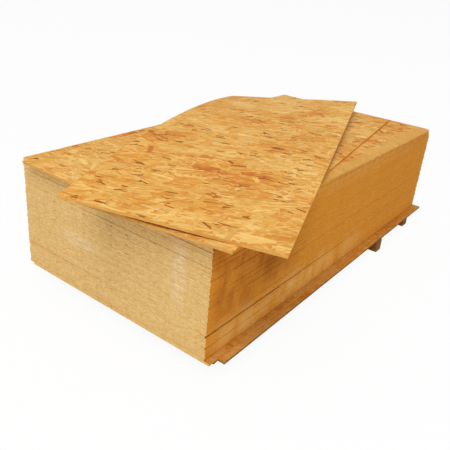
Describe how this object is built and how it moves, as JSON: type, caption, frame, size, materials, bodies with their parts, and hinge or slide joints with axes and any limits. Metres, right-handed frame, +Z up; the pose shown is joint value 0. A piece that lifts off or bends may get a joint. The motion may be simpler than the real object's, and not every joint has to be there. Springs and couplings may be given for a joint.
{
  "type": "stack of osb panels",
  "caption": "Squared-up stack of oriented strand board sheets on timber bearers, with three loose narrower sheets lying askew on top, the topmost of them warped.",
  "frame": {"origin": "on the floor, at the middle of the middle bearer's underside, below the middle of the squared-up stack", "axes": "+X along the sheets towards the far end, +Y across them away from the open long face, +Z up"},
  "size_m": [2.8457, 1.7728, 0.8255],
  "materials": {
    "osb": "raw pressed strands",
    "bearer_timber": "rough sawn, weathered"
  },
  "bodies": {
    "root": {"lowest_sheet": "osb", "second_sheet": "osb", "stack_sheet_01": "osb", "stack_sheet_02": "osb", "stack_sheet_03": "osb", "stack_sheet_04": "osb", "stack_sheet_05": "osb", "stack_sheet_06": "osb", "stack_sheet_07": "osb", "stack_sheet_08": "osb", "stack_sheet_09": "osb", "stack_sheet_10": "osb", "stack_sheet_11": "osb", "stack_sheet_12": "osb", "stack_sheet_13": "osb", "stack_sheet_14": "osb", "stack_sheet_15": "osb", "stack_sheet_16": "osb", "stack_sheet_17": "osb", "stack_sheet_18": "osb", "stack_sheet_19": "osb", "stack_sheet_20": "osb", "stack_sheet_21": "osb", "stack_sheet_22": "osb", "stack_sheet_23": "osb", "stack_sheet_24": "osb", "stack_sheet_25": "osb", "stack_sheet_26": "osb", "stack_sheet_27": "osb", "stack_sheet_28": "osb", "stack_sheet_29": "osb", "stack_sheet_30": "osb", "stack_sheet_31": "osb", "stack_sheet_32": "osb", "stack_sheet_33": "osb", "stack_sheet_34": "osb", "stack_sheet_35": "osb", "stack_sheet_36": "osb", "stack_sheet_37": "osb", "stack_sheet_38": "osb", "stack_sheet_39": "osb", "stack_sheet_40": "osb", "stack_sheet_41": "osb", "stack_sheet_42": "osb", "stack_sheet_43": "osb", "stack_sheet_44": "osb", "stack_sheet_45": "osb", "stack_sheet_46": "osb", "stack_sheet_47": "osb", "stack_sheet_48": "osb", "stack_sheet_49": "osb", "loose_sheet_1": "osb", "loose_sheet_2": "osb", "loose_sheet_3": "osb", "bearer_1": "bearer_timber", "bearer_2": "bearer_timber", "bearer_3": "bearer_timber", "bearer_4": "bearer_timber", "bearer_5": "bearer_timber"}
  },
  "joints": []
}
